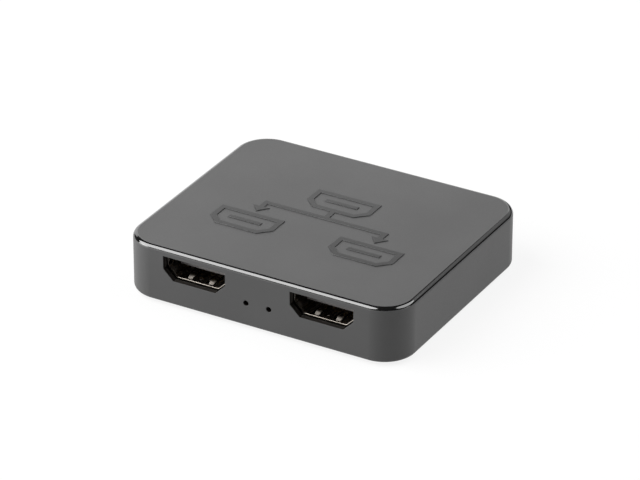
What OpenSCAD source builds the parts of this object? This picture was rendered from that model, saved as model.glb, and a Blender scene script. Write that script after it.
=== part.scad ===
// Video splitter, one input and two outputs: a flat rounded housing round a circuit board and its sockets.
// The origin lies under the middle of the feet, the outputs face -Y and +Z is up. Lengths are millimetres.

/* [Housing] */
// Outer width, left to right
body_w = 66; // [64:0.5:90]
// Outer depth, front to back
body_d = 55.2; // [53:0.2:80]
// Height without the feet
body_h = 12.8; // [12.7:0.1:18]
// Radius of the upright corners
corner_r = 7.2; // [5:0.1:8]
// Rounding of the edge round the lid
top_edge_r = 1; // [0.4:0.1:1.2]
// Rounding of the edge round the underside
bottom_edge_r = 1; // [0.3:0.1:1.2]
// Thickness of the side walls
wall_t = 1.5; // [1.4:0.1:2]
// Thickness of the lid
roof_t = 1.3; // [1:0.1:1.4]

/* [Bottom cover] */
// Thickness of the cover plate
cover_t = 1.6; // [1.4:0.1:2]
// Gap between the cover and the walls round it
cover_gap = 0.15; // [0.1:0.05:0.3]
// Height of the posts that carry the board
post_h = 2; // [1.8:0.1:2.2]
// Diameter of the posts round the screws
post_d = 6.4; // [6:0.1:7]
// Diameter of the plain posts between the sockets
prop_d = 4; // [3:0.1:5]

/* [Screws and feet] */
// Distance of the screws from the outer faces
screw_inset = 7; // [6.5:0.1:7.5]
// Diameter over the thread
screw_d = 2; // [1.8:0.1:2.2]
// Length of the thread
screw_l = 6; // [5:0.2:7]
// Distance from one turn of the thread to the next
screw_pitch = 0.75; // [0.5:0.05:1]
// Depth of the thread
thread_depth = 0.2; // [0.1:0.05:0.3]
// Diameter of the screw heads
head_d = 3.8; // [3.4:0.1:4]
// Height of the screw heads
head_h = 1.3; // [1:0.1:1.4]
// Gap round a screw in the holes that it passes through
screw_gap = 0.2; // [0.1:0.05:0.3]
// Gap between the thread and the hole that it bites into
thread_gap = 0.02; // [0.01:0.01:0.05]
// Diameter of the screw bosses under the lid
boss_d = 5.2; // [4.6:0.1:5.6]
// Depth of the holes in the bosses
pilot_l = 4; // [3.6:0.1:5]
// Diameter of the feet
foot_d = 7; // [6:0.1:7.6]
// Thickness of the feet
foot_t = 1.3; // [1:0.1:1.4]
// How far the feet stand out below the cover
foot_proud = 0.6; // [0.4:0.1:0.9]
// Gap round a foot in its recess
foot_gap = 0.15; // [0.1:0.05:0.3]

/* [Circuit board] */
// Thickness of the board
board_t = 1.6; // [1.2:0.1:1.7]
// Gap between the board and the walls
board_gap = 0.5; // [0.3:0.1:0.8]
// Gap round the metal legs in the board
leg_gap = 0.2; // [0.1:0.05:0.3]

/* [Video sockets] */
// Distance of the middles of the outputs from the side faces
output_inset = 17.9; // [17.4:0.1:18.5]
// Distance of the middle of the input from the right-hand face
input_inset = 24; // [21:0.5:27]
// Width of the mouth
mouth_w = 14; // [13.8:0.05:14.2]
// Height of the mouth
mouth_h = 4.55; // [4.4:0.05:4.65]
// Size of the slanted lower corners of the mouth
mouth_chamfer = 2.1; // [1.8:0.1:2.4]
// Thickness of the sheet metal
sheet_t = 0.25; // [0.2:0.05:0.3]
// Length of the metal tube
socket_l = 10.6; // [10:0.1:11.4]
// Height of the tube above the board
socket_lift = 0.75; // [0.6:0.05:0.85]
// Gap between a socket and its hole in the wall
port_gap = 0.15; // [0.1:0.05:0.2]
// Distance of the mouth behind the inner side of the wall
mouth_gap = 0.05; // [0.05:0.05:0.3]
// Width of the tongue that carries the contacts
tongue_w = 11; // [10.6:0.1:11.6]
// Thickness of the tongue
tongue_t = 1.1; // [0.9:0.05:1.3]
// Height of the middle of the tongue above the floor of the mouth
tongue_z = 2.5; // [2.2:0.1:2.8]
// Distance of the tongue behind the mouth
tongue_setback = 2.4; // [1.2:0.1:2.6]
// Contacts on the upper side of the tongue
upper_count = 10; // [2:1:10]
// Contacts on the lower side of the tongue
lower_count = 9; // [1:1:9]
// Distance between neighbouring contacts of one side
contact_pitch = 1; // [0.9:0.05:1.05]
// Width of a contact
contact_w = 0.32; // [0.2:0.02:0.4]
// Thickness of a contact
contact_t = 0.15; // [0.1:0.05:0.2]

/* [Retention springs] */
// Distance of the springs from the middle of the mouth
spring_x = 2.5; // [2:0.1:3]
// Width of a spring
spring_w = 1.6; // [1.2:0.1:2]
// Gap beside a spring in its window
spring_gap = 0.25; // [0.15:0.05:0.35]
// Distance of the bending root behind the mouth
spring_root = 6.6; // [6:0.1:7]
// Length from the root to the bump
spring_arm = 4; // [3.6:0.1:4.2]
// Length of the lead-in past the bump
spring_tip = 1.8; // [1.4:0.1:1.9]
// How far the bump stands into the mouth
spring_bump = 0.22; // [0.15:0.01:0.3]

/* [Power socket] */
// Distance of the middle of the power socket from the left-hand face
power_inset = 19; // [16:0.5:20]
// Width of its mouth
power_w = 6.9; // [6.7:0.05:7.2]
// Height of its mouth
power_h = 1.85; // [1.7:0.05:2]
// Size of the slanted lower corners of its mouth
power_chamfer = 0.7; // [0.5:0.05:0.9]
// Length of its metal tube
power_l = 5; // [4.6:0.1:6]
// Distance of its mouth behind the outer face
power_setback = 0.4; // [0.2:0.1:1]
// Height of its tube above the board
power_lift = 0.1; // [0.05:0.05:0.3]
// Width of its tongue
power_tongue_w = 3.8; // [3.5:0.1:4.2]
// Thickness of its tongue
power_tongue_t = 0.6; // [0.5:0.05:0.7]
// Contacts on its tongue
power_count = 5; // [3:1:5]
// Distance between its contacts
power_pitch = 0.65; // [0.6:0.05:0.7]

/* [Status lights] */
// Distance between the two lights
led_pitch = 5.4; // [4:0.1:8]
// Diameter of the holes in front of them
led_hole_d = 1.2; // [0.8:0.1:1.4]
// Height of the light above the board
led_lift = 0.35; // [0.3:0.05:0.4]

/* [Board parts] */
// Width of the splitter chip
chip_w = 10; // [8.5:0.5:10]
// Height of the splitter chip
chip_h = 1.4; // [1:0.1:1.6]
// Leads on each side of the splitter chip
chip_count = 16; // [8:1:16]
// Distance between the leads of the splitter chip
chip_pitch = 0.5; // [0.4:0.05:0.5]
// Diameter of the bulk capacitors
can_d = 5; // [4:0.1:5.2]
// Height of the bulk capacitors with their bases
can_h = 5.4; // [4:0.1:5.6]

/* [Hidden] */
$fn = 64;

// Heights, from the underside of the feet up
floor_z = foot_proud;
cover_top_z = floor_z + cover_t;
board_z = cover_top_z + post_h;
board_top_z = board_z + board_t;
ceiling_z = floor_z + body_h - roof_t;

// Outlines inside the housing
inner_w = body_w - 2 * wall_t;
inner_d = body_d - 2 * wall_t;
inner_r = corner_r - wall_t;
board_w = inner_w - 2 * board_gap;
board_d = inner_d - 2 * board_gap;

// Screws, their seats and the recesses of the feet
screw_x = body_w / 2 - screw_inset;
screw_y = body_d / 2 - screw_inset;
recess_h = foot_t - foot_proud;
head_gap = 0.1;
seat_z = floor_z + recess_h + head_gap + head_h;
cross_w = 0.6;
cross_l = 2.2;
cross_h = 0.7;
foot_edge_r = 0.3;
prop_places = [[0, -16], [-4, 16]];

// How far a cut runs past a face, and how far a boss runs into the lid
past = 1;
weld = 0.4;
rib_w = 1;
rib_l = 6;
rib_gap = 0.1;
rib_x = 5.2;

// Video sockets: places, floor of the mouth above the board, and lengths behind the tube
output_x = body_w / 2 - output_inset;
input_x = body_w / 2 - input_inset;
mouth_floor = socket_lift + sheet_t;
block_l = 2.4;
heel_w = 12.4;
heel_l = 1.5;
tail_l = 1;
contact_proud = 0.05;
contact_setback = 0.4;
leg_w = 1.6;
leg_shoulder = 0.4;
leg_tail = 0.8;
leg_hold = 0.6;
leg_places = [3, 8.6];
socket_y = inner_d / 2 - mouth_gap;
socket_rear = socket_l + heel_l + contact_t + tail_l;
root_gap = 0.05;
window_front = spring_root - spring_arm - spring_tip - spring_gap;
window_back = spring_root + sheet_t / 2 + root_gap;
tip_h = -0.1;

// Power socket: the same place and lengths
power_x = power_inset - body_w / 2;
power_floor = power_lift + sheet_t;
power_block_l = 1.2;
power_heel_w = 6.4;
power_heel_l = 0.8;
power_tail_l = 0.7;
power_tongue_z = 1.15;
power_tongue_setback = 0.8;
power_leg_w = 1.6;
power_leg_places = [power_l - power_leg_w / 2 - leg_shoulder];
power_leg_hold = 0.3;
power_y = body_d / 2 - power_setback;

// Lights
led_w = 1.6;
led_d = 0.9;
led_h = 0.7;
led_edge = 0.15;
lens_d = 0.6;
lens_l = 0.3;

// Board parts and their places
chip_place = [4, 0];
chip_lift = 0.1;
lead_w = 0.22;
lead_t = 0.12;
lead_run = 0.35;
lead_foot = 0.5;
memory_place = [18.5, 0];
memory_w = 4.9;
memory_d = 3.9;
memory_h = 1.5;
memory_count = 4;
memory_pitch = 1.27;
memory_lead_w = 0.42;
regulator_places = [[-23.5, 8], [-23.5, -3]];
regulator_w = 6.5;
regulator_d = 3.5;
regulator_h = 1.6;
regulator_pitch = 2.3;
regulator_lead_w = 0.7;
regulator_tab_w = 3;
regulator_lead_t = 0.25;
regulator_run = 0.6;
regulator_foot = 1;
crystal_place = [-12, -2];
crystal_w = 10.4;
crystal_d = 4;
crystal_h = 2.8;
crystal_base_w = 11.4;
crystal_base_d = 4.8;
crystal_base_h = 0.7;
can_places = [[-12.5, 8], [-5.5, 9.5]];
can_base_w = can_d + 0.3;
can_base_h = 0.8;
can_base_cut = 1;
fuse_place = [power_x, 16];
fuse_size = [3.2, 1.6, 0.9];
chip_part_w = 1.6;
chip_part_d = 0.8;
capacitor_h = 0.8;
resistor_h = 0.45;
ring_count = 4;
ring_pitch = 2.4;
part_gap = 0.4;
array_size = [2.5, 1, 0.6];
array_x = 3;
array_gap = 0.3;
row_count = 4;
row_pitch = 2.2;
array_y = socket_rear + array_gap + array_size.y / 2;
row_y = array_y + array_size.y / 2 + part_gap + chip_part_d / 2;
ring_y = chip_w / 2 + lead_run + lead_t + lead_foot + part_gap + chip_part_d / 2;
led_row_gap = 2;

// Colours
plastic = [0.17, 0.17, 0.175];
rubber = [0.08, 0.08, 0.08];
steel = [0.62, 0.62, 0.64];
nickel = [0.78, 0.74, 0.68];
gold = [0.85, 0.68, 0.34];
moulding = [0.15, 0.145, 0.145];
laminate = [0.06, 0.07, 0.065];
package = [0.09, 0.09, 0.1];
tin = [0.75, 0.75, 0.77];
aluminium = [0.8, 0.81, 0.83];
ceramic = [0.62, 0.5, 0.36];
epoxy = [0.05, 0.05, 0.047];

// Places of the sockets: the mouth lies at y = 0, the tube runs to +y and the board's face is z = 0
module at_output_1() translate([-output_x, -socket_y, board_top_z]) children();
module at_output_2() translate([output_x, -socket_y, board_top_z]) children();
module at_input() translate([input_x, socket_y, board_top_z]) rotate(180) children();
module at_power() translate([power_x, power_y, board_top_z]) rotate(180) children();

module at_screws() {
    for (x = [-screw_x, screw_x], y = [-screw_y, screw_y])
        translate([x, y, 0]) children();
}

module at_lights(side) translate([side * led_pitch / 2, -board_d / 2 + led_edge, board_top_z]) children();

// A plate with round corners
module rounded_plate(w, d, r, h) {
    linear_extrude(h) {
        square([w - 2 * r, d], center = true);
        square([w, d - 2 * r], center = true);
        for (x = [-1, 1], y = [-1, 1])
            translate([x * (w / 2 - r), y * (d / 2 - r)]) circle(r);
    }
}

// Section through the housing's rim, from the centre of a corner out to the outer face
module rim_section() {
    translate([0, bottom_edge_r]) square([corner_r, body_h - bottom_edge_r - top_edge_r]);
    square([corner_r - bottom_edge_r, body_h / 2]);
    translate([0, body_h / 2]) square([corner_r - top_edge_r, body_h / 2]);
    translate([corner_r - bottom_edge_r, bottom_edge_r]) circle(bottom_edge_r);
    translate([corner_r - top_edge_r, body_h - top_edge_r]) circle(top_edge_r);
}

// The whole outer form of the housing, with its rounded edges
module outer_form() {
    core = [body_w - 2 * corner_r, body_d - 2 * corner_r];
    translate([-core.x / 2, -core.y / 2, 0]) cube([core.x, core.y, body_h]);
    for (turn = [0:3]) {
        reach = core[turn % 2] / 2;
        side = core[1 - turn % 2] / 2;
        rotate(90 * turn) {
            translate([reach, 0, 0]) rotate([90, 0, 0]) linear_extrude(2 * side, center = true) rim_section();
            translate([reach, side, 0]) rotate_extrude(angle = 90) rim_section();
        }
    }
}

// Outline of a socket's mouth with slanted lower corners, grown outwards on every side
function mouth_outline(w, h, c, grow) =
    let (slant = (sqrt(2) - 1) * grow)
    [
        [w / 2 + grow, h + grow], [-w / 2 - grow, h + grow],
        [-w / 2 - grow, c - slant], [-w / 2 + c - slant, -grow],
        [w / 2 - c + slant, -grow], [w / 2 + grow, c - slant]
    ];

// A mouth outline run from y = front to y = back
module mouth_run(w, h, c, grow, front, back) {
    translate([0, back, 0]) rotate([90, 0, 0]) linear_extrude(back - front) polygon(mouth_outline(w, h, c, grow));
}

module video_run(grow, front, back) {
    translate([0, 0, mouth_floor]) mouth_run(mouth_w, mouth_h, mouth_chamfer, grow, front, back);
}

module power_run(grow, front, back) {
    translate([0, 0, power_floor]) mouth_run(power_w, power_h, power_chamfer, grow, front, back);
}

// A metal leg: it stands on the board with its shoulders and passes through it
module leg(x, y, w, top) {
    shoulder_w = w + 2 * leg_shoulder;
    translate([x - sheet_t / 2, y - shoulder_w / 2, 0]) cube([sheet_t, shoulder_w, top]);
    translate([x - sheet_t / 2, y - w / 2, -board_t - leg_tail]) cube([sheet_t, w, board_t + leg_tail + top]);
}

module legs(mouth, w, places, top) {
    for (side = [-1, 1], y = places) leg(side * (mouth + sheet_t) / 2, y, w, top);
}

// Slots in the board for those legs
module leg_slots(mouth, w, places) {
    for (side = [-1, 1], y = places)
        translate([side * (mouth + sheet_t) / 2, y, -board_t / 2])
            cube([sheet_t + 2 * leg_gap, w + 2 * leg_gap, board_t + 2 * past], center = true);
}

// A flat strip that runs along y, steps down to the board and ends in a foot
module bent_strip(run, drop, foot, t, w) {
    rotate([90, 0, 90]) linear_extrude(w, center = true)
        polygon([
            [0, drop + t], [run + t, drop + t], [run + t, t], [run + t + foot, t],
            [run + t + foot, 0], [run, 0], [run, drop], [0, drop]
        ]);
}

// A row of bent strips, side by side
module strip_row(count, pitch, start, run, drop, foot, t, w) {
    for (i = [0:count - 1])
        translate([(i - (count - 1) / 2) * pitch, start, 0]) bent_strip(run, drop, foot, t, w);
}

module top_shell() {
    color(plastic) difference() {
        union() {
            difference() {
                translate([0, 0, floor_z]) outer_form();
                translate([0, 0, floor_z - past])
                    rounded_plate(inner_w, inner_d, inner_r, ceiling_z - floor_z + past);
            }
            at_screws() translate([0, 0, board_top_z]) cylinder(d = boss_d, h = ceiling_z - board_top_z + weld);
            at_output_1() hold_down_ribs();
            at_output_2() hold_down_ribs();
            at_input() hold_down_ribs();
        }
        at_output_1() video_run(sheet_t + port_gap, -mouth_gap - wall_t - past, past);
        at_output_2() video_run(sheet_t + port_gap, -mouth_gap - wall_t - past, past);
        at_input() video_run(sheet_t + port_gap, -mouth_gap - wall_t - past, past);
        at_power() power_run(sheet_t + port_gap, -power_setback - past, wall_t - power_setback + past);
        for (side = [-1, 1])
            translate([side * led_pitch / 2, -inner_d / 2 + past, board_top_z + led_lift])
                rotate([90, 0, 0]) cylinder(d = led_hole_d, h = wall_t + 2 * past);
        at_screws() translate([0, 0, board_top_z - past])
            cylinder(d = screw_d + 2 * thread_gap, h = pilot_l + past);
    }
}

// Ribs under the lid that keep a socket down on the board
module hold_down_ribs() {
    top = mouth_floor + mouth_h + sheet_t + rib_gap;
    for (side = [-1, 1])
        translate([side * rib_x - rib_w / 2, spring_root - rib_l / 2, top])
            cube([rib_w, rib_l, ceiling_z - board_top_z - top + weld]);
}

module bottom_cover() {
    color(plastic) difference() {
        union() {
            translate([0, 0, floor_z])
                rounded_plate(inner_w - 2 * cover_gap, inner_d - 2 * cover_gap, inner_r - cover_gap, cover_t);
            at_screws() translate([0, 0, floor_z + cover_t / 2]) cylinder(d = post_d, h = board_z - floor_z - cover_t / 2);
            for (place = prop_places)
                translate([place.x, place.y, floor_z + cover_t / 2])
                    cylinder(d = prop_d, h = board_z - floor_z - cover_t / 2);
        }
        at_screws() {
            translate([0, 0, floor_z - past]) cylinder(d = foot_d + 2 * foot_gap, h = recess_h + past);
            translate([0, 0, floor_z]) cylinder(d = head_d + 2 * screw_gap, h = seat_z - floor_z);
            cylinder(d = screw_d + 2 * screw_gap, h = board_z + past);
        }
    }
}

// A screw with its head down: the seat of the head lies at z = 0 and the thread points up
module screw() {
    turns = floor((screw_l - screw_d / 2) / screw_pitch);
    core_r = screw_d / 2 - thread_depth;
    thread = [for (i = [0:turns - 1], step = [0, 1])
        [step == 0 ? core_r : screw_d / 2, (i + step / 2 + 0.25) * screw_pitch]];
    difference() {
        union() {
            translate([0, 0, -head_h]) cylinder(d = head_d, h = head_h);
            rotate_extrude() polygon(concat(
                [[0, -head_h / 2], [core_r, -head_h / 2]], thread,
                [[core_r, (turns + 0.25) * screw_pitch], [0, screw_l]]
            ));
        }
        for (turn = [0, 90])
            rotate(turn) translate([-cross_l / 2, -cross_w / 2, -head_h - past]) cube([cross_l, cross_w, cross_h + past]);
    }
}

module cover_screws() {
    color(steel) at_screws() translate([0, 0, seat_z]) screw();
}

module feet() {
    color(rubber) at_screws() rotate_extrude() {
        translate([0, foot_edge_r]) square([foot_d / 2, foot_t - foot_edge_r]);
        square([foot_d / 2 - foot_edge_r, foot_t]);
        translate([foot_d / 2 - foot_edge_r, foot_edge_r]) circle(foot_edge_r);
    }
}

module circuit_board() {
    color(laminate) difference() {
        translate([0, 0, board_z]) rounded_plate(board_w, board_d, inner_r - board_gap, board_t);
        at_screws() translate([0, 0, board_z - past]) cylinder(d = screw_d + 2 * screw_gap, h = board_t + 2 * past);
        at_output_1() leg_slots(mouth_w, leg_w, leg_places);
        at_output_2() leg_slots(mouth_w, leg_w, leg_places);
        at_input() leg_slots(mouth_w, leg_w, leg_places);
        at_power() leg_slots(power_w, power_leg_w, power_leg_places);
    }
}

// The sheet-metal tube of a video socket, with four legs and the windows of its springs
module video_shield() {
    difference() {
        union() {
            video_run(sheet_t, 0, socket_l);
            legs(mouth_w, leg_w, leg_places, mouth_floor + mouth_chamfer + leg_hold);
        }
        video_run(0, -past, socket_l + past);
        for (side = [-1, 1], z = [socket_lift, mouth_floor + mouth_h])
            translate([side * spring_x - spring_w / 2 - spring_gap, window_front, z - sheet_t / 2])
                cube([spring_w + 2 * spring_gap, window_back - window_front, 2 * sheet_t]);
    }
}

// The contacts of a video socket, ten above the tongue and nine below it
module video_contacts() {
    start = tongue_setback + contact_setback;
    run = socket_l + heel_l - start;
    upper = mouth_floor + tongue_z + tongue_t / 2 + contact_proud - contact_t;
    lower = mouth_floor + tongue_z - tongue_t / 2 - contact_proud;
    strip_row(upper_count, contact_pitch, start, run, upper, tail_l, contact_t, contact_w);
    strip_row(lower_count, contact_pitch, start, run, lower, tail_l, contact_t, contact_w);
}

// The moulded core of a video socket: a tongue, the block that closes the tube and a heel on the board
module video_insulator() {
    difference() {
        union() {
            translate([-tongue_w / 2, tongue_setback, mouth_floor + tongue_z - tongue_t / 2])
                cube([tongue_w, socket_l - tongue_setback, tongue_t]);
            video_run(0, socket_l - block_l, socket_l);
            translate([-heel_w / 2, socket_l - weld, mouth_floor + mouth_chamfer])
                cube([heel_w, heel_l + weld, mouth_h - mouth_chamfer]);
            translate([-heel_w / 2, socket_l, 0]) cube([heel_w, heel_l, mouth_floor + mouth_h]);
        }
        video_contacts();
    }
}

// One leaf of a retention spring: bending root at the origin, bump towards +z, tip towards -y
module spring_leaf() {
    half = sheet_t / 2;
    bump = [spring_arm, spring_bump];
    tip = [spring_arm + spring_tip, tip_h];
    rotate([90, 0, -90]) linear_extrude(spring_w, center = true) {
        circle(half);
        polygon([
            [0, half], [bump.x, bump.y + half], [tip.x, tip.y + half],
            [tip.x, tip.y - half], [bump.x, bump.y - half], [0, -half]
        ]);
    }
}

module lower_springs() {
    for (side = [-1, 1])
        translate([side * spring_x, spring_root, mouth_floor - sheet_t / 2]) spring_leaf();
}

module upper_springs() {
    for (side = [-1, 1])
        translate([side * spring_x, spring_root, mouth_floor + mouth_h + sheet_t / 2])
            mirror([0, 0, 1]) spring_leaf();
}

module output_1_shield() color(nickel) at_output_1() video_shield();
module output_1_insulator() color(moulding) at_output_1() video_insulator();
module output_1_contacts() color(gold) at_output_1() video_contacts();
module output_1_upper_springs() color(nickel) at_output_1() upper_springs();
module output_1_lower_springs() color(nickel) at_output_1() lower_springs();
module output_2_shield() color(nickel) at_output_2() video_shield();
module output_2_insulator() color(moulding) at_output_2() video_insulator();
module output_2_contacts() color(gold) at_output_2() video_contacts();
module output_2_upper_springs() color(nickel) at_output_2() upper_springs();
module output_2_lower_springs() color(nickel) at_output_2() lower_springs();
module input_shield() color(nickel) at_input() video_shield();
module input_insulator() color(moulding) at_input() video_insulator();
module input_contacts() color(gold) at_input() video_contacts();
module input_upper_springs() color(nickel) at_input() upper_springs();
module input_lower_springs() color(nickel) at_input() lower_springs();

module power_shield() {
    color(nickel) at_power() difference() {
        union() {
            power_run(sheet_t, 0, power_l);
            legs(power_w, power_leg_w, power_leg_places, power_floor + power_chamfer + power_leg_hold);
        }
        power_run(0, -past, power_l + past);
    }
}

module power_contact_row() {
    start = power_tongue_setback + contact_setback;
    run = power_l + power_heel_l - start;
    drop = power_floor + power_tongue_z - power_tongue_t / 2 - contact_proud;
    strip_row(power_count, power_pitch, start, run, drop, power_tail_l, contact_t, contact_w);
}

module power_contacts() color(gold) at_power() power_contact_row();

module power_insulator() {
    tongue_front = power_tongue_setback;
    color(moulding) at_power() difference() {
        union() {
            translate([-power_tongue_w / 2, tongue_front, power_floor + power_tongue_z - power_tongue_t / 2])
                cube([power_tongue_w, power_l - tongue_front, power_tongue_t]);
            power_run(0, power_l - power_block_l, power_l);
            translate([-power_heel_w / 2, power_l - weld, power_floor + power_chamfer])
                cube([power_heel_w, power_heel_l + weld, power_h - power_chamfer]);
            translate([-power_heel_w / 2, power_l, 0]) cube([power_heel_w, power_heel_l, power_floor + power_h]);
        }
        power_contact_row();
    }
}

// A light that looks out sideways over the front edge of the board
module status_light() {
    translate([-led_w / 2, 0, 0]) cube([led_w, led_d, led_h]);
    translate([0, led_d / 2, led_lift]) rotate([90, 0, 0]) cylinder(d = lens_d, h = led_d / 2 + lens_l);
}

module power_led() color(epoxy) at_lights(-1) status_light();
module signal_led() color(epoxy) at_lights(1) status_light();

module on_board(place) translate([place.x, place.y, board_top_z]) children();

module splitter_chip() {
    color(package) on_board(chip_place)
        translate([-chip_w / 2, -chip_w / 2, chip_lift]) cube([chip_w, chip_w, chip_h]);
}

module splitter_chip_leads() {
    color(tin) on_board(chip_place) for (turn = [0:3])
        rotate(90 * turn)
            strip_row(chip_count, chip_pitch, chip_w / 2, lead_run, chip_lift + chip_h / 2, lead_foot, lead_t, lead_w);
}

module memory_chip() {
    color(package) on_board(memory_place)
        translate([-memory_w / 2, -memory_d / 2, chip_lift]) cube([memory_w, memory_d, memory_h]);
}

module memory_chip_leads() {
    height = chip_lift + memory_h / 2;
    color(tin) on_board(memory_place) for (turn = [0, 180])
        rotate(turn)
            strip_row(memory_count, memory_pitch, memory_d / 2, lead_run, height, lead_foot, lead_t, memory_lead_w);
}

module regulators() {
    color(package) for (place = regulator_places)
        on_board(place)
            translate([-regulator_w / 2, -regulator_d / 2, chip_lift]) cube([regulator_w, regulator_d, regulator_h]);
}

module regulator_leads() {
    height = chip_lift + regulator_h / 2;
    color(tin) for (place = regulator_places)
        on_board(place) {
            strip_row(3, regulator_pitch, regulator_d / 2, regulator_run, height,
                regulator_foot, regulator_lead_t, regulator_lead_w);
            rotate(180) strip_row(1, regulator_pitch, regulator_d / 2, regulator_run, height,
                regulator_foot, regulator_lead_t, regulator_tab_w);
        }
}

module crystal() {
    color(aluminium) on_board(crystal_place) translate([0, 0, crystal_base_h]) linear_extrude(crystal_h) {
        square([crystal_w - crystal_d, crystal_d], center = true);
        for (side = [-1, 1]) translate([side * (crystal_w - crystal_d) / 2, 0]) circle(d = crystal_d);
    }
}

module crystal_base() {
    color(moulding) on_board(crystal_place)
        translate([-crystal_base_w / 2, -crystal_base_d / 2, 0]) cube([crystal_base_w, crystal_base_d, crystal_base_h]);
}

module bulk_capacitors() {
    color(aluminium) for (place = can_places)
        on_board(place) translate([0, 0, can_base_h]) cylinder(d = can_d, h = can_h - can_base_h);
}

module capacitor_bases() {
    half = can_base_w / 2;
    color(moulding) for (place = can_places)
        on_board(place) linear_extrude(can_base_h)
            polygon([
                [-half, -half], [half - can_base_cut, -half], [half, -half + can_base_cut],
                [half, half - can_base_cut], [half - can_base_cut, half], [-half, half]
            ]);
}

module input_fuse() {
    color(ceramic) on_board(fuse_place)
        translate([-fuse_size.x / 2, -fuse_size.y / 2, 0]) cube(fuse_size);
}

// A row of small two-ended parts that stand on the board
module part_row(count, pitch, size) {
    for (i = [0:count - 1])
        translate([(i - (count - 1) / 2) * pitch - size.x / 2, -size.y / 2, 0]) cube(size);
}

module ceramic_capacitors() {
    color(ceramic) on_board(chip_place) for (turn = [0:3])
        rotate(90 * turn) translate([0, ring_y, 0])
            part_row(ring_count, ring_pitch, [chip_part_w, chip_part_d, capacitor_h]);
}

module chip_resistors() {
    size = [chip_part_w, chip_part_d, resistor_h];
    color(package) {
        at_output_1() translate([0, row_y, 0]) part_row(row_count, row_pitch, size);
        at_output_2() translate([0, row_y, 0]) part_row(row_count, row_pitch, size);
        at_input() translate([0, row_y, 0]) part_row(row_count, row_pitch, size);
        for (side = [-1, 1]) at_lights(side) translate([0, led_d + led_row_gap, 0]) part_row(1, row_pitch, size);
    }
}

module surge_pair() {
    for (side = [-1, 1])
        translate([side * array_x - array_size.x / 2, array_y - array_size.y / 2, 0]) cube(array_size);
}

module surge_arrays() {
    color(package) {
        at_output_1() surge_pair();
        at_output_2() surge_pair();
        at_input() surge_pair();
    }
}

top_shell();
bottom_cover();
cover_screws();
feet();
circuit_board();
output_1_shield();
output_1_insulator();
output_1_contacts();
output_1_upper_springs();
output_1_lower_springs();
output_2_shield();
output_2_insulator();
output_2_contacts();
output_2_upper_springs();
output_2_lower_springs();
input_shield();
input_insulator();
input_contacts();
input_upper_springs();
input_lower_springs();
power_shield();
power_insulator();
power_contacts();
power_led();
signal_led();
splitter_chip();
splitter_chip_leads();
memory_chip();
memory_chip_leads();
regulators();
regulator_leads();
crystal();
crystal_base();
bulk_capacitors();
capacitor_bases();
input_fuse();
ceramic_capacitors();
chip_resistors();
surge_arrays();
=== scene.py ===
"""Looks of a small video splitter: satin grey housing, polished lid edge, metal sockets, lid sign."""
import math
import bmesh
import bpy
from mathutils import Euler, Matrix, Vector


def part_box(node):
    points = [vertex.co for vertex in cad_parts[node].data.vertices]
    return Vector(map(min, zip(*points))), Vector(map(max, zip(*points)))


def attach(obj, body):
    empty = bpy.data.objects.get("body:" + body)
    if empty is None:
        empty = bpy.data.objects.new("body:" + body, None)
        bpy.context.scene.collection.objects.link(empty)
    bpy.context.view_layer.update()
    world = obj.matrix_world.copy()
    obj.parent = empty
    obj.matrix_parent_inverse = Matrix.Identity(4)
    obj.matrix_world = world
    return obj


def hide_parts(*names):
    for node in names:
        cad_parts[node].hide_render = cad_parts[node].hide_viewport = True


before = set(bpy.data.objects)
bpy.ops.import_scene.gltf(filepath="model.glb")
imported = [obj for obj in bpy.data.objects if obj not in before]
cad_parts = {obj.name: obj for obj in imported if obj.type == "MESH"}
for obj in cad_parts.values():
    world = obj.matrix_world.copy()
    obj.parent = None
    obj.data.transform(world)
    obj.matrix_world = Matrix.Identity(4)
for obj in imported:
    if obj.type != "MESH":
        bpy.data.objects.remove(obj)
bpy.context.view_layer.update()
MM = 0.001
BODY = "splitter"

# Lengths under TINY count as none, and a face looks along an axis where its normal passes FACING.
# A slanted corner's cut grows by CUT_GROWTH for each unit that its outline grows
TINY = 0.02 * MM
FACING = 0.9
CUT_GROWTH = 2 - math.sqrt(2)

# The housing's box comes from the top shell's mesh, and its other sizes are those of the solids
shell_low, shell_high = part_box("top_shell")
WALL = 1.5 * MM
CEILING = 1.3 * MM
CORNER_R = 7.2 * MM
LID_EDGE_R = 1.0 * MM
FOOT_EDGE_R = 1.0 * MM
POLISH_ENDS = math.cos(math.radians(63))
RIM_SOFT = 0.12 * MM
BOARD_TOP = 5.8 * MM
SCREW_INSET = 7.0 * MM
SCREW_X = shell_high.x - SCREW_INSET
SCREW_Y = shell_high.y - SCREW_INSET
SCREW_PLACES = [(x * SCREW_X, y * SCREW_Y) for x in (-1, 1) for y in (-1, 1)]
BOSS_R = 2.6 * MM
PILOT_R = 1.02 * MM
PILOT_LENGTH = 5.0 * MM
PILOT_LIFT = 1.5 * MM
RIB_X = 5.2 * MM
RIB_HALF_W = 0.5 * MM
RIB_HALF_L = 3.0 * MM
RIB_GAP = 0.1 * MM
LID_BITE = 0.4 * MM
LIGHT_X = 2.7 * MM
LIGHT_Z = 6.15 * MM
LIGHT_R = 0.6 * MM
CUT_REACH = 3.0 * MM

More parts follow.
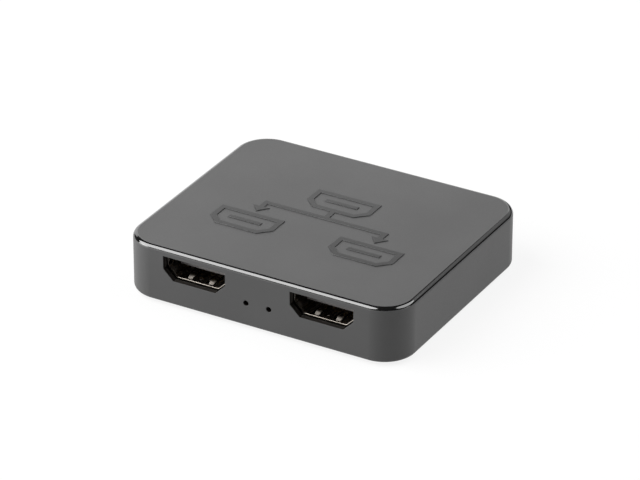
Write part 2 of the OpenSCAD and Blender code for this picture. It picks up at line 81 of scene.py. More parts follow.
# Sockets: the place along X, and the way that the mouth faces along Y
SOCKETS = {"output_1": (-15.1 * MM, -1), "output_2": (15.1 * MM, -1), "input": (9.0 * MM, 1)}
SHEET = 0.25 * MM
BEND_R = 1.5 * SHEET
LIP_R = 0.11 * MM
PORT_GAP = 0.15 * MM
MOUTH_W = 14.0 * MM
MOUTH_H = 4.55 * MM
MOUTH_SLANT = 2.1 * MM
MOUTH_FLOOR = 6.8 * MM
MOUTH_Y = 26.05 * MM
VIDEO_MOUTH = (MOUTH_W, MOUTH_H, MOUTH_SLANT, MOUTH_FLOOR)
VIDEO_LENGTH = 10.6 * MM
VIDEO_LEGS = (3.0 * MM, 8.6 * MM)
VIDEO_LEG_TOP = 9.5 * MM
POWER_X = -14.0 * MM
POWER_W = 6.9 * MM
POWER_H = 1.85 * MM
POWER_SLANT = 0.7 * MM
POWER_FLOOR = 6.15 * MM
POWER_Y = 27.2 * MM
POWER_MOUTH = (POWER_W, POWER_H, POWER_SLANT, POWER_FLOOR)
POWER_LENGTH = 5.0 * MM
POWER_LEGS = (3.8 * MM,)
POWER_LEG_TOP = 7.15 * MM
LEG_HALF_W = 1.2 * MM
LEG_HALF_T = SHEET / 2 - TINY
LEG_STEP = 0.05 * MM
TAIL_NARROW = 0.8 / 1.2
TAIL_DROP = 1.9 * MM
POINT_NARROW = 0.6
POINT_DROP = 0.5 * MM
LEAF_X = 2.5 * MM
LEAF_W = 1.6 * MM
LEAF_ROOT = 19.45 * MM
LEAF_START = 0.1 * MM
LEAF_SOFT = 0.04 * MM
LEAF_TAPER = 0.965
TIP_TAPER = 0.88
TIP_FROM = 5.5
WINDOW_DEPTH = 3.6625 * MM
WINDOW_HALF_L = 3.1125 * MM
SEAM_LOCK_R = 0.36 * MM
SEAM_LOCK_FLAT = 0.22
SEAM_LOCK_DEPTH = 1.75 * MM
SEAM_LOCK_SUNK = 0.01 * MM


def clear_selection():
    """Leaves edit mode and deselects every object."""
    if bpy.context.object and bpy.context.object.mode != "OBJECT":
        bpy.ops.object.mode_set(mode="OBJECT")
    bpy.ops.object.select_all(action="DESELECT")


def select_only(piece):
    clear_selection()
    piece.select_set(True)
    bpy.context.view_layer.objects.active = piece


def rename(piece, name):
    piece.name = name
    piece.data.name = name


def settle(piece, name):
    """Names a new primitive and puts its place into its mesh."""
    rename(piece, name)
    bpy.ops.object.transform_apply(location=True, rotation=True, scale=True)
    return piece


def add_block(name, low, high):
    low, high = Vector(low), Vector(high)
    clear_selection()
    bpy.ops.mesh.primitive_cube_add(size=1, location=(low + high) / 2, scale=high - low)
    return settle(bpy.context.object, name)


def add_rod(name, centre, radius, length, turn=(0, 0, 0), sides=48):
    clear_selection()
    bpy.ops.mesh.primitive_cylinder_add(
        vertices=sides, radius=radius, depth=length, location=centre, rotation=turn
    )
    return settle(bpy.context.object, name)


def pick(piece, kind, test):
    """In edit mode, selects just the edges or faces that pass the test."""
    if piece.mode != "EDIT":
        select_only(piece)
        bpy.ops.object.mode_set(mode="EDIT")
    bpy.ops.mesh.select_mode(type=kind)
    bpy.ops.mesh.select_all(action="DESELECT")
    mesh = bmesh.from_edit_mesh(piece.data)
    mesh.normal_update()
    for element in mesh.edges if kind == "EDGE" else mesh.faces:
        if test(element):
            element.select_set(True)
    mesh.select_flush_mode()
    bmesh.update_edit_mesh(piece.data)


def bevel(width, steps):
    bpy.ops.mesh.bevel(
        offset=width, offset_type="OFFSET", segments=steps, profile=0.5, affect="EDGES", clamp_overlap=False
    )


def draw_out(step):
    """Extrudes the picked faces by a step."""
    bpy.ops.mesh.extrude_region_move(TRANSFORM_OT_translate={"value": step})


def paint(piece, index, test):
    """Gives the faces that pass the test another one of the piece's finishes."""
    pick(piece, "FACE", test)
    piece.active_material_index = index
    bpy.ops.object.material_slot_assign()


def at(value, level):
    return abs(value - level) < TINY


def edge_lies(edge, axis, level):
    """True where both ends of the edge lie at one level of an axis."""
    return all(at(v.co[axis], level) for v in edge.verts)


def edge_runs(edge, axis):
    """True where the edge runs along one axis."""
    way = edge.verts[1].co - edge.verts[0].co
    return way.length > TINY and abs(way[axis]) > 0.999 * way.length


def merge(pieces):
    """Joins several pieces into the first one."""
    clear_selection()
    for piece in pieces:
        piece.select_set(True)
    bpy.context.view_layer.objects.active = pieces[0]
    bpy.ops.object.join()
    return pieces[0]


def combine(piece, tool, operation):
    """Adds the tool's volume to a piece, or cuts it away, and removes the tool."""
    select_only(piece)
    change = piece.modifiers.new("combine", "BOOLEAN")
    change.operation = operation
    change.solver = "EXACT"
    change.object = tool
    bpy.ops.object.modifier_apply(modifier=change.name)
    select_only(tool)
    bpy.ops.object.delete()


def smooth(piece, angle=38):
    """Smooth shading that keeps sharp edges and flat faces."""
    select_only(piece)
    bpy.ops.object.shade_smooth_by_angle(angle=math.radians(angle))
    even = piece.modifiers.new("even", "WEIGHTED_NORMAL")
    even.keep_sharp = True
    bpy.ops.object.modifier_apply(modifier=even.name)


# Finishes: each one reads Object coordinates. low and high are the ends of its range of roughness
def new_finish(name, colour, roughness, metallic=0.0, ior=1.5):
    finish = bpy.data.materials.new(name)
    finish.use_nodes = True
    shader = finish.node_tree.nodes["Principled BSDF"]
    shader.inputs["Base Color"].default_value = (*colour, 1)
    shader.inputs["Roughness"].default_value = roughness
    shader.inputs["Metallic"].default_value = metallic
    shader.inputs["IOR"].default_value = ior
    return finish, shader


def add_node(finish, kind, **sockets):
    node = finish.node_tree.nodes.new(kind)
    for socket, value in sockets.items():
        node.inputs[socket.replace("_", " ")].default_value = value
    return node


def link(finish, source, target):
    finish.node_tree.links.new(source, target)


def surface_place(finish, stretch=(1, 1, 1)):
    """Object coordinates, stretched along the axes for brushed and moulded finishes."""
    place = add_node(finish, "ShaderNodeTexCoord")
    mapping = add_node(finish, "ShaderNodeMapping", Scale=stretch)
    link(finish, place.outputs["Object"], mapping.inputs["Vector"])
    return mapping.outputs["Vector"]


def noise(finish, place, scale, detail=3.0, rough=0.5):
    node = add_node(finish, "ShaderNodeTexNoise", Scale=scale, Detail=detail, Roughness=rough)
    link(finish, place, node.inputs["Vector"])
    return node.outputs["Fac"]


def tint(finish, shader, amount, dark, light, start=0.3, end=0.7):
    """Colour between two tones, by a pattern that runs from start to end."""
    ramp = add_node(finish, "ShaderNodeValToRGB")
    ramp.color_ramp.elements[0].position = start
    ramp.color_ramp.elements[0].color = (*dark, 1)
    ramp.color_ramp.elements[1].position = end
    ramp.color_ramp.elements[1].color = (*light, 1)
    link(finish, amount, ramp.inputs["Fac"])
    link(finish, ramp.outputs["Color"], shader.inputs["Base Color"])


def gloss_range(finish, shader, amount, low, high, start=0.3, end=0.7):
    """Roughness from low to high, by a pattern that runs from start to end."""
    spread = add_node(finish, "ShaderNodeMapRange", From_Min=start, From_Max=end, To_Min=low, To_Max=high)
    link(finish, amount, spread.inputs["Value"])
    link(finish, spread.outputs["Result"], shader.inputs["Roughness"])


def relief(finish, shader, height, depth, strength=1.0):
    bump = add_node(finish, "ShaderNodeBump", Strength=strength, Distance=depth)
    link(finish, height, bump.inputs["Height"])
    link(finish, bump.outputs["Normal"], shader.inputs["Normal"])


def reckon(finish, operation, *sources):
    """A Math node that takes one or more outputs."""
    node = add_node(finish, "ShaderNodeMath")
    node.operation = operation
    for source, target in zip(sources, node.inputs):
        link(finish, source, target)
    return node


def grey(level):
    return (level, level, level)


def satin_plastic(name, dark, light, low, high):
    """Moulded plastic with a fine grain and a slow drift of tone."""
    finish, shader = new_finish(name, grey(light), low)
    place = surface_place(finish)
    drift = noise(finish, place, scale=60.0, detail=4.0)
    tint(finish, shader, drift, grey(dark), grey(light))
    grain = noise(finish, place, scale=5200.0, detail=2.0)
    gloss_range(finish, shader, grain, low, high)
    relief(finish, shader, grain, depth=0.004 * MM, strength=0.35)
    return finish


def polished_plastic(name, level):
    finish, shader = new_finish(name, grey(level), 0.09, ior=1.75)
    shader.inputs["Coat Weight"].default_value = 1.0
    shader.inputs["Coat Roughness"].default_value = 0.05
    place = surface_place(finish)
    drift = noise(finish, place, scale=180.0, detail=3.0)
    tint(finish, shader, drift, grey(level * 0.9), grey(level * 1.1))
    grain = noise(finish, place, scale=900.0, detail=2.0)
    gloss_range(finish, shader, grain, low=0.07, high=0.12)
    relief(finish, shader, grain, depth=0.002 * MM, strength=0.2)
    return finish


def plain_metal(name, dark, light, low, high, stretch=(1, 1, 1), scale=900.0):
    finish, shader = new_finish(name, light, low, metallic=1.0)
    streaks = noise(finish, surface_place(finish, stretch), scale, detail=4.0, rough=0.6)
    tint(finish, shader, streaks, dark, light)
    gloss_range(finish, shader, streaks, low, high)
    relief(finish, shader, streaks, depth=0.003 * MM, strength=0.4)
    return finish


def worn_and_painted_light_leaf(name, mean_tone, root_tone, worn_and_painted_light_tone, low, high):
    """Spring metal: smooth and darker at the root, scuffed pale and satin over the bump, where plugs rub.
    The pale bump against the darker root is partly wear and partly painted light and shade: lit where light
    reaches the front of the leaf, shaded at the root deep in the socket.
    """
    finish, shader = new_finish(name, mean_tone, 0.3, metallic=1.0)
    split = add_node(finish, "ShaderNodeSeparateXYZ")
    link(finish, surface_place(finish), split.inputs["Vector"])
    outward = reckon(finish, "ABSOLUTE", split.outputs["Y"])
    streaks = noise(finish, surface_place(finish, (1, 0.25, 1)), scale=1800.0, detail=4.0, rough=0.6)
    ragged = reckon(finish, "MULTIPLY_ADD", streaks)
    ragged.inputs[1].default_value = 1.2 * MM
    link(finish, outward.outputs["Value"], ragged.inputs[2])
    wear_and_painted_light = add_node(finish, "ShaderNodeMapRange", From_Min=24.1 * MM, From_Max=25.2 * MM)
    link(finish, ragged.outputs["Value"], wear_and_painted_light.inputs["Value"])
    tint(finish, shader, wear_and_painted_light.outputs["Result"], root_tone, worn_and_painted_light_tone, start=0.0, end=1.0)
    gloss_range(finish, shader, wear_and_painted_light.outputs["Result"], low, high, start=0.0, end=1.0)
    relief(finish, shader, streaks, depth=0.003 * MM, strength=0.4)
    return finish


def dull_solid(name, dark, light, low, high, scale=700.0, depth=0.01 * MM, shine=0.5):
    """Rubber, moulding compound, ceramic and cut plastic."""
    finish, shader = new_finish(name, light, high)
    shader.inputs["Specular IOR Level"].default_value = shine
    place = surface_place(finish)
    drift = noise(finish, place, scale, detail=4.0, rough=0.6)
    tint(finish, shader, drift, dark, light)
    gloss_range(finish, shader, drift, low, high)
    grain = noise(finish, place, 4 * scale, detail=2.0)
    relief(finish, shader, grain, depth, strength=0.5)
    return finish


def board_laminate():
    """Black solder mask with slightly raised tracks."""
    finish, shader = new_finish("black_laminate", grey(0.012), 0.35)
    tracks = add_node(finish, "ShaderNodeTexBrick", Scale=300.0, Mortar_Size=0.06, Mortar_Smooth=0.2)
    tracks.inputs["Color1"].default_value = (0.010, 0.011, 0.010, 1)
    tracks.inputs["Color2"].default_value = (0.013, 0.014, 0.013, 1)
    tracks.inputs["Mortar"].default_value = (0.022, 0.023, 0.022, 1)
    link(finish, surface_place(finish), tracks.inputs["Vector"])
    link(finish, tracks.outputs["Color"], shader.inputs["Base Color"])
    relief(finish, shader, tracks.outputs["Fac"], depth=0.02 * MM, strength=0.6)
    return finish


SATIN = satin_plastic("satin_grey_plastic", dark=0.080, light=0.090, low=0.40, high=0.50)
# The sign is the lid's plastic; its darker base colour is painted dark reflection, standing in for the
# darker surroundings that its smoother strokes mirror
SIGN_PAINTED_DARK_SATIN = satin_plastic("smooth_sign_plastic_painted_dark", dark=0.034, light=0.040, low=0.28, high=0.34)
# The openings' walls are the housing's dark unpainted core; their brown tint is painted reflection of the
# socket metal
RAW_EDGE_BROWN_REFLECTION = dull_solid(
    "raw_cut_edge_painted_reflection", (0.007, 0.0056, 0.0047), (0.011, 0.0088, 0.0074), low=0.5, high=0.65, shine=0.3
)
POLISHED = polished_plastic("polished_grey_plastic", level=0.006)
NICKEL = plain_metal(
    "warm_nickel", (0.33, 0.3, 0.265), (0.40, 0.365, 0.325), 0.16, 0.24, stretch=(1, 0.3, 1), scale=1200.0
)
SHEARED = plain_metal("sheared_edge", (0.6, 0.55, 0.49), (0.7, 0.64, 0.57), 0.15, 0.25, scale=4000.0)
# Leaf tones: the pale bump against the darker root is partly wear and partly painted light and shade
WORN_PAINTED_LIGHT_LEAF = worn_and_painted_light_leaf(
    "worn_and_painted_light_leaf", (0.6, 0.55, 0.49), (0.34, 0.3, 0.26), (0.72, 0.67, 0.61), low=0.18, high=0.6
)
STEEL = plain_metal("zinc_steel", (0.46, 0.46, 0.48), (0.62, 0.62, 0.64), 0.25, 0.45)
GOLD = plain_metal("contact_gold", (0.78, 0.55, 0.22), (0.9, 0.68, 0.32), 0.15, 0.28)
TIN = plain_metal("tinned_copper", (0.62, 0.62, 0.64), (0.78, 0.78, 0.8), 0.2, 0.35)
CAN = plain_metal("bright_can", (0.7, 0.71, 0.73), (0.83, 0.84, 0.86), 0.16, 0.26, stretch=(1, 1, 8))
RUBBER = dull_solid("black_rubber", grey(0.018), grey(0.032), 0.72, 0.9, scale=900.0, depth=0.02 * MM)
CORE = dull_solid("grey_socket_core", (0.27, 0.26, 0.26), (0.31, 0.3, 0.3), 0.42, 0.56)
PACKAGE = dull_solid("chip_package", grey(0.014), grey(0.024), 0.5, 0.65, scale=1500.0)
CERAMIC = dull_solid("fired_ceramic", (0.36, 0.25, 0.15), (0.46, 0.33, 0.21), 0.4, 0.6, scale=1400.0)
EPOXY = dull_solid(
    "smoked_epoxy", (0.03, 0.03, 0.028), (0.05, 0.05, 0.047), 0.12, 0.2, scale=500.0, depth=0.004 * MM
)
LAMINATE = board_laminate()


# The housing: a block with round corners, rounded edges and a hollow inside
def mouth_tool(x, way, mouth):
    """A cutter with the outline of a socket's mouth and a gap round it, wide side up."""
    width, height, slant, floor = mouth
    grow = SHEET + PORT_GAP
    wall = shell_high.y if way > 0 else shell_low.y
    tool = add_block(
        "mouth",
        (x - width / 2 - grow, wall - CUT_REACH, floor - grow),
        (x + width / 2 + grow, wall + CUT_REACH, floor + height + grow),
    )
    pick(tool, "EDGE", lambda e: edge_runs(e, 1) and edge_lies(e, 2, floor - grow))
    bevel(slant + CUT_GROWTH * grow, steps=1)
    clear_selection()
    return tool


def hollow_block():
    top, bottom = shell_high.z, shell_low.z
    housing = add_block("housing", shell_low, shell_high)
    pick(housing, "EDGE", lambda e: edge_runs(e, 2))
    bevel(CORNER_R, steps=28)
    pick(housing, "EDGE", lambda e: edge_lies(e, 2, top))
    bevel(LID_EDGE_R, steps=10)
    pick(housing, "EDGE", lambda e: edge_lies(e, 2, bottom))
    bevel(FOOT_EDGE_R, steps=6)
    pick(housing, "FACE", lambda f: f.normal.z < -0.99 and at(f.calc_center_median().z, bottom))
    bpy.ops.mesh.inset(thickness=WALL - FOOT_EDGE_R)
    draw_out((0, 0, top - CEILING - bottom))
    clear_selection()
    return housing


def add_bosses_and_ribs(housing):
    """Screw bosses under the lid, and the ribs that hold the video sockets down."""
    ceiling = shell_high.z - CEILING
    height = ceiling - BOARD_TOP + LID_BITE
    inside = [add_rod("boss", (x, y, BOARD_TOP + height / 2), BOSS_R, height) for x, y in SCREW_PLACES]
    rib_foot = MOUTH_FLOOR + MOUTH_H + SHEET + RIB_GAP
    for x, way in SOCKETS.values():
        for side in (-1, 1):
            middle = Vector((x + side * RIB_X, way * LEAF_ROOT, 0))
            low = middle + Vector((-RIB_HALF_W, -RIB_HALF_L, rib_foot))
            high = middle + Vector((RIB_HALF_W, RIB_HALF_L, ceiling + LID_BITE))
            inside.append(add_block("rib", low, high))
    combine(housing, merge(inside), "UNION")


def cut_openings(housing):
    """The sockets' openings, the light holes and the pilot holes in the bosses."""
    tools = [mouth_tool(x, way, VIDEO_MOUTH) for x, way in SOCKETS.values()]
    tools.append(mouth_tool(POWER_X, 1, POWER_MOUTH))
    for side in (-1, 1):
        place = (side * LIGHT_X, shell_low.y, LIGHT_Z)
        tools.append(add_rod("light", place, LIGHT_R, 2 * CUT_REACH, turn=(math.pi / 2, 0, 0), sides=32))
    for x, y in SCREW_PLACES:
        tools.append(add_rod("pilot", (x, y, BOARD_TOP + PILOT_LIFT), PILOT_R, PILOT_LENGTH))
    combine(housing, merge(tools), "DIFFERENCE")


def on_rim(edge):
    """True on the sharp edge of an opening in the front or rear wall."""
    if len(edge.link_faces) != 2 or edge.calc_face_angle() < 1:
        return False
    return edge_lies(edge, 1, shell_low.y) or edge_lies(edge, 1, shell_high.y)


def on_lid_edge(face):
    """True on the upper rows of the lid's rounded edge, which are polished."""
    return POLISH_ENDS < face.normal.z < 0.999 and face.calc_center_median().z > shell_high.z - LID_EDGE_R


def in_cut(face):
    """True on the raw walls of an opening, which take the dark core finish with its painted brown
    reflection.
    """
    middle = face.calc_center_median()
    depth = shell_high.y - abs(middle.y)
    between = BOARD_TOP - MM < middle.z < shell_high.z - CEILING and abs(middle.x) < shell_high.x - CORNER_R
    return abs(face.normal.y) < 0.1 and RIM_SOFT / 2 < depth < WALL + TINY and between


def make_housing():
    housing = hollow_block()
    add_bosses_and_ribs(housing)
    cut_openings(housing)
    pick(housing, "EDGE", on_rim)
    bevel(RIM_SOFT, steps=2)
    for finish in (SATIN, POLISHED, RAW_EDGE_BROWN_REFLECTION):
        housing.data.materials.append(finish)
    paint(housing, 1, on_lid_edge)
    paint(housing, 2, in_cut)
    clear_selection()
    smooth(housing)
    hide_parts("top_shell")
    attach(housing, BODY)


make_housing()

# The lid's sign: one socket feeds two, in low raised strokes, smoother than the lid and darker by a painted
# dark reflection.
# Its places and sizes along X and Y are in millimetres
SIGN_BASE = shell_high.z - TINY
SIGN_FACE = shell_high.z + 0.18 * MM
SIGN_SOFT = 0.1 * MM
STROKE = 1.3
OUTLINE_HALF_W = 7.6
OUTLINE_HALF_D = 3.8
OUTLINE_SLANT = 2.6
TONGUE_HALF_W = 3.9
TONGUE_FRONT = -0.35
TONGUE_BACK = 0.75
HEAD_HALF_W = 2.0
HEAD_LENGTH = 2.3
HEAD_POINT = 0.04
HEAD_LAP = 0.2
HEAD_Y = -1.5
CROSS_Y = 0.5
STEM_END = 3.9
FEEDS_X = 14.2
FEEDS_Y = -8.6
SOURCE_Y = 7.4


def sign_block(low, high, past=0.0):
    low = (low[0] * MM, low[1] * MM, SIGN_BASE - past)
    high = (high[0] * MM, high[1] * MM, SIGN_FACE + past)
    return add_block("stroke", low, high)


def sign_socket(x, y):
    """The outline of a socket's mouth with its tongue."""
    wide, deep = OUTLINE_HALF_W, OUTLINE_HALF_D
    outer = sign_block((x - wide, y - deep), (x + wide, y + deep))
    wide, deep = wide - STROKE, deep - STROKE
    inner = sign_block((x - wide, y - deep), (x + wide, y + deep), MM)
    for block, cut in ((outer, OUTLINE_SLANT), (inner, OUTLINE_SLANT - CUT_GROWTH * STROKE)):
        front = min(corner[1] for corner in block.bound_box)
        pick(block, "EDGE", lambda e: edge_runs(e, 2) and edge_lies(e, 1, front))
        bevel(cut * MM, steps=1)
    combine(outer, inner, "DIFFERENCE")
    tongue = sign_block((x - TONGUE_HALF_W, y + TONGUE_FRONT), (x + TONGUE_HALF_W, y + TONGUE_BACK))
    return [outer, tongue]


def sign_arrow(x, y):
    """A drop from the cross stroke with an arrowhead that points to the front."""
    head = sign_block((x - HEAD_HALF_W, y - HEAD_LENGTH), (x + HEAD_HALF_W, y))
    pick(head, "FACE", lambda f: f.normal.y < -FACING)
    bpy.ops.transform.resize(value=(HEAD_POINT, 1, 1), center_override=(x * MM, 0, 0))
    return [head, sign_block((x - STROKE / 2, y - HEAD_LAP), (x + STROKE / 2, CROSS_Y))]


def make_sign():
    half = STROKE / 2
    strokes = [sign_block((-FEEDS_X - half, CROSS_Y - half), (FEEDS_X + half, CROSS_Y + half))]
    strokes.append(sign_block((-half, CROSS_Y), (half, STEM_END)))
    for side in (-1, 1):
        strokes.extend(sign_arrow(side * FEEDS_X, HEAD_Y))
        strokes.extend(sign_socket(side * FEEDS_X, FEEDS_Y))
    strokes.extend(sign_socket(0, SOURCE_Y))
    sign = strokes[0]
    for stroke in strokes[1:]:
        combine(sign, stroke, "UNION")
    pick(sign, "EDGE", lambda e: edge_lies(e, 2, SIGN_FACE) and e.calc_face_angle(0) > 0.5)
    bevel(SIGN_SOFT, steps=4)
    clear_selection()
    rename(sign, "lid_sign")
    sign.data.materials.append(SIGN_PAINTED_DARK_SATIN)
    smooth(sign)
    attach(sign, BODY)


make_sign()


# Sockets: a folded sheet-metal tube with round bends, a rounded lip and legs through the board
def make_leg(x, y, top):
    """A leg with square shoulders on the board and a narrower, pointed tail through it."""
    low = (x - LEG_HALF_T, y - LEG_HALF_W, BOARD_TOP + LEG_STEP)
    leg = add_block("leg", low, (x + LEG_HALF_T, y + LEG_HALF_W, top))
    pick(leg, "FACE", lambda f: f.normal.z < -FACING)
    for narrow, drop in ((TAIL_NARROW, LEG_STEP), (1, TAIL_DROP), (POINT_NARROW, POINT_DROP)):
        draw_out((0, 0, -drop))
        bpy.ops.transform.resize(value=(1, narrow, 1), center_override=(x, y, 0))
    clear_selection()
    return leg


def make_tube(x, way, mouth_y, mouth, length, leg_places, leg_top):
    width, height, slant, floor = mouth
    half = width / 2 + SHEET
    front, back = sorted((way * mouth_y, way * (mouth_y - length)))
    tube = add_block("tube", (x - half, front, floor - SHEET), (x + half, back, floor + height + SHEET))
    pick(tube, "EDGE", lambda e: edge_runs(e, 1) and edge_lies(e, 2, floor - SHEET))
    bevel(slant + CUT_GROWTH * SHEET, steps=1)
    pick(tube, "EDGE", lambda e: edge_runs(e, 1))
    bevel(BEND_R, steps=4)
    pick(tube, "FACE", lambda f: abs(f.normal.y) > FACING)
    bpy.ops.mesh.inset(thickness=SHEET)
    bpy.ops.mesh.bridge_edge_loops()
    bpy.ops.mesh.select_all(action="SELECT")
    bpy.ops.mesh.normals_make_consistent(inside=False)

    def on_inner_lip(edge):
        middle = (edge.verts[0].co + edge.verts[1].co) / 2
        inside = slant - width / 2 - TINY < middle.x - x < width / 2 - TINY
        low = floor - TINY < middle.z < floor + slant
        return inside and low and edge_lies(edge, 1, way * mouth_y) and edge.calc_face_angle(0) > 1

    pick(tube, "EDGE", on_inner_lip)
    bevel(LIP_R, steps=4)
    for side in (-1, 1):
        for place in leg_places:
            middle = x + side * (width + SHEET) / 2
            combine(tube, make_leg(middle, way * (mouth_y - place), leg_top), "UNION")
    return tube


def finish_tube(tube, socket):
    rename(tube, f"{socket}_tube")
    tube.data.materials.append(NICKEL)
    tube.data.materials.append(SHEARED)
    paint(tube, 1, lambda f: abs(f.normal.y) > 0.98)
    smooth(tube)
    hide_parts(f"{socket}_shield")
    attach(tube, BODY)


def make_seam_lock(x, way):
    """The low round dimple that locks the folded sheet's seam, in the floor of the mouth."""
    clear_selection()
    place = (x, way * (MOUTH_Y - SEAM_LOCK_DEPTH), MOUTH_FLOOR - SEAM_LOCK_SUNK)
    bpy.ops.mesh.primitive_uv_sphere_add(
        segments=24, ring_count=12, radius=SEAM_LOCK_R, location=place, scale=(1, 1, SEAM_LOCK_FLAT)
    )
    return settle(bpy.context.object, "seam_lock")


def make_video_tube(socket, x, way):
    tube = make_tube(x, way, MOUTH_Y, VIDEO_MOUTH, VIDEO_LENGTH, VIDEO_LEGS, VIDEO_LEG_TOP)
    windows = []
    for side in (-1, 1):
        for level in (MOUTH_FLOOR - SHEET / 2, MOUTH_FLOOR + MOUTH_H + SHEET / 2):
            middle = Vector((x + side * LEAF_X, way * (MOUTH_Y - WINDOW_DEPTH), level))
            reach = Vector((LEAF_W / 2 + SHEET, WINDOW_HALF_L, SHEET))
            windows.append(add_block("window", middle - reach, middle + reach))
    combine(tube, merge(windows), "DIFFERENCE")
    combine(tube, make_seam_lock(x, way), "UNION")
    finish_tube(tube, socket)


for socket, (x, way) in SOCKETS.items():
    make_video_tube(socket, x, way)
power_tube = make_tube(POWER_X, 1, POWER_Y, POWER_MOUTH, POWER_LENGTH, POWER_LEGS, POWER_LEG_TOP)
finish_tube(power_tube, "power")

# Spring leaves of the video sockets: a leaf rises from its root to a round bump and dips to its tip.
# A line gives the distance from the root and the rise, in millimetres
UPPER_LINE = (
    (0.9, 0.05), (1.8, 0.1), (2.7, 0.149), (3.4, 0.187), (3.8, 0.208), (4.1, 0.216), (4.35, 0.205),
    (4.6, 0.165), (5.0, 0.06), (5.3, -0.02), (5.55, -0.075), (5.8, -0.1),
)
LOWER_LINE = (
    (0.9, 0.05), (1.8, 0.1), (2.7, 0.148), (3.5, 0.19), (4.0, 0.212), (4.3, 0.219), (4.55, 0.212),
    (4.75, 0.18), (5.0, 0.085), (5.3, -0.06), (5.55, -0.17), (5.8, -0.23),
)


def make_leaf(x, way, upper):
    """One leaf, drawn out of a short block at its root station by station."""
    rise = -1 if upper else 1
    level = MOUTH_FLOOR + MOUTH_H + SHEET / 2 if upper else MOUTH_FLOOR - SHEET / 2
    root = Vector((x, way * LEAF_ROOT, level))
    half = Vector((LEAF_W / 2, LEAF_START, SHEET / 2))
    leaf = add_block("leaf", root - half, root + half)
    pick(leaf, "FACE", lambda f: f.normal.y * way > FACING)
    reach, height = half.y, 0.0
    for along, up in UPPER_LINE if upper else LOWER_LINE:
        draw_out((0, way * (along * MM - reach), rise * (up * MM - height)))
        narrow = LEAF_TAPER if along < TIP_FROM else TIP_TAPER
        bpy.ops.transform.resize(value=(narrow, 1, 1), center_override=(x, 0, 0))
        reach, height = along * MM, up * MM
    pick(leaf, "EDGE", lambda e: e.calc_face_angle(0) > 0.9)
    bevel(LEAF_SOFT, steps=2)
    clear_selection()
    return leaf


def make_leaves(socket, x, way):
    for level in ("lower", "upper"):
        leaves = merge([make_leaf(x + side * LEAF_X, way, level == "upper") for side in (-1, 1)])
        rename(leaves, f"{socket}_{level}_leaves")
        leaves.data.materials.append(WORN_PAINTED_LIGHT_LEAF)
        smooth(leaves)
        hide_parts(f"{socket}_{level}_springs")
        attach(leaves, f"{socket}_{level}_springs")


for socket, (x, way) in SOCKETS.items():
    make_leaves(socket, x, way)

# Finishes of the nodes that keep their own shape
NODE_FINISH = {
    "bottom_cover": SATIN,
    "cover_screws": STEEL,
    "feet": RUBBER,
    "circuit_board": LAMINATE,
    "power_insulator": CORE,
    "power_contacts": GOLD,
    "power_led": EPOXY,
    "signal_led": EPOXY,
    "splitter_chip": PACKAGE,
    "splitter_chip_leads": TIN,
    "memory_chip": PACKAGE,
    "memory_chip_leads": TIN,
    "regulators": PACKAGE,
    "regulator_leads": TIN,
    "crystal": CAN,
    "crystal_base": CORE,
    "bulk_capacitors": CAN,
    "capacitor_bases": CORE,
    "input_fuse": CERAMIC,
    "ceramic_capacitors": CERAMIC,
    "chip_resistors": PACKAGE,
    "surge_arrays": PACKAGE,
}
for socket in SOCKETS:
    NODE_FINISH[socket + "_insulator"] = CORE
    NODE_FINISH[socket + "_contacts"] = GOLD
for name, finish in NODE_FINISH.items():
    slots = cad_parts[name].data.materials
    slots.clear()
    slots.append(finish)

# Floor, lamps and camera, in metres and degrees
FLOOR_SIZE = 12
FLOOR_PALE = 0.86
FLOOR_BOUNCE = 0.15
FLOOR_GLOW = 0.86
WORLD_GLOW = 0.02
CAMERA_AZIMUTH = 29.756
CAMERA_ELEVATION = 28.694
CAMERA_AIM = Vector((0, 0, 7.0 * MM))
CAMERA_LEFT = 0.8487 * MM
CAMERA_UP = 1.3588 * MM
CAMERA_BACK = 856.833 * MM
CAMERA_LENS = 229.894


def add_floor():
    """A pale floor that is white to the camera and in mirrors, and throws little light on the part."""
    clear_selection()
    bpy.ops.mesh.primitive_plane_add(size=FLOOR_SIZE, location=(0, 0, -TINY))
    floor = settle(bpy.context.object, "floor")
    finish, shader = new_finish("pale_floor", grey(FLOOR_BOUNCE), 0.9)
    shader.inputs["Specular IOR Level"].default_value = 0.0
    seen = add_node(finish, "ShaderNodeBsdfDiffuse", Color=(*grey(FLOOR_PALE), 1))
    glow = add_node(finish, "ShaderNodeEmission", Strength=1.0)
    pale = add_node(finish, "ShaderNodeMixShader", Fac=FLOOR_GLOW)
    link(finish, seen.outputs["BSDF"], pale.inputs[1])
    link(finish, glow.outputs["Emission"], pale.inputs[2])
    ray = add_node(finish, "ShaderNodeLightPath")
    mirrored = reckon(finish, "MAXIMUM", ray.outputs["Is Glossy Ray"], ray.outputs["Is Transmission Ray"])
    shown = reckon(finish, "MAXIMUM", ray.outputs["Is Camera Ray"], mirrored.outputs["Value"])
    choice = add_node(finish, "ShaderNodeMixShader")
    link(finish, shown.outputs["Value"], choice.inputs["Fac"])
    link(finish, shader.outputs["BSDF"], choice.inputs[1])
    link(finish, pale.outputs["Shader"], choice.inputs[2])
    link(finish, choice.outputs["Shader"], finish.node_tree.nodes["Material Output"].inputs["Surface"])
    floor.data.materials.append(finish)


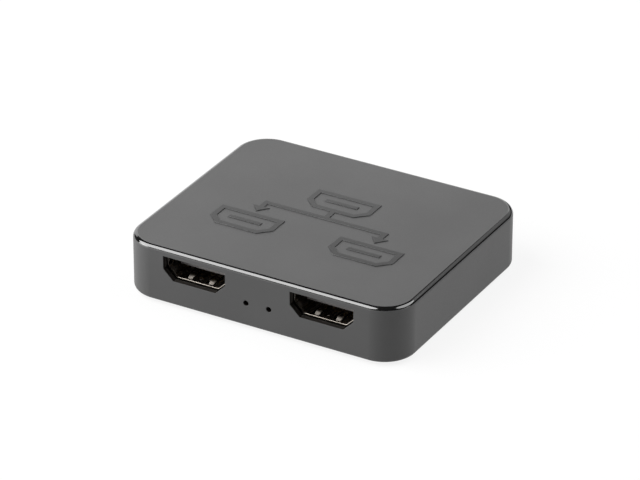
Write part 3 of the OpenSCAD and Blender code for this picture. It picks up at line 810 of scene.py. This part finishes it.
def add_soft_lamp(name, azimuth, elevation, distance, size, radiance, roll=0.0, shape="ELLIPSE"):
    """A flat soft lamp that looks at the part. Azimuth is measured from +X towards +Y."""
    a, e = math.radians(azimuth), math.radians(elevation)
    away = Vector((math.cos(e) * math.cos(a), math.cos(e) * math.sin(a), math.sin(e)))
    clear_selection()
    bpy.ops.object.light_add(type="AREA", location=away * distance)
    lamp = bpy.context.object
    lamp.name = name
    facing = Euler((math.pi / 2 - e, 0, a + math.pi / 2)).to_matrix()
    lamp.rotation_euler = (facing @ Matrix.Rotation(math.radians(roll), 3, "Z")).to_euler()
    lamp.data.shape = shape
    lamp.data.size, lamp.data.size_y = size
    area = size[0] * size[1] * (math.pi / 4 if shape == "ELLIPSE" else 1)
    lamp.data.energy = 4 * area * radiance
    lamp.visible_camera = False


def add_camera():
    tilt = math.pi / 2 - math.radians(CAMERA_ELEVATION)
    facing = Euler((tilt, 0, math.radians(CAMERA_AZIMUTH))).to_matrix()
    right, up, back = facing.col[0], facing.col[1], facing.col[2]
    place = CAMERA_AIM - CAMERA_LEFT * right + CAMERA_UP * up + CAMERA_BACK * back
    clear_selection()
    bpy.ops.object.camera_add(location=place, rotation=facing.to_euler())
    camera = bpy.context.object
    camera.data.sensor_width = 36
    camera.data.lens = CAMERA_LENS
    camera.data.clip_start = 0.01
    camera.data.clip_end = 50
    bpy.context.scene.camera = camera


add_floor()
add_soft_lamp("key_lamp", -143, 49, distance=0.55, size=(0.66, 0.52), radiance=3.9, roll=27)
add_soft_lamp("fill_card", -143, 13, distance=0.5, size=(0.36, 0.22), radiance=3.6)
add_soft_lamp("rim_lamp", 33, 51, distance=0.6, size=(0.64, 0.42), radiance=2.1)
add_soft_lamp("right_card", 4, 9, distance=0.5, size=(0.34, 0.16), radiance=1.9)
add_soft_lamp("right_glow", 78, 32, distance=0.7, size=(0.6, 0.34), radiance=0.35)
add_soft_lamp("back_glow", 132, 21, distance=0.24, size=(0.28, 0.12), radiance=0.88, shape="RECTANGLE")
add_camera()
world = bpy.data.worlds.new("studio")
world.use_nodes = True
world.node_tree.nodes["Background"].inputs["Color"].default_value = (1, 1, 1, 1)
world.node_tree.nodes["Background"].inputs["Strength"].default_value = WORLD_GLOW
bpy.context.scene.world = world
bpy.context.scene.view_settings.view_transform = "Standard"
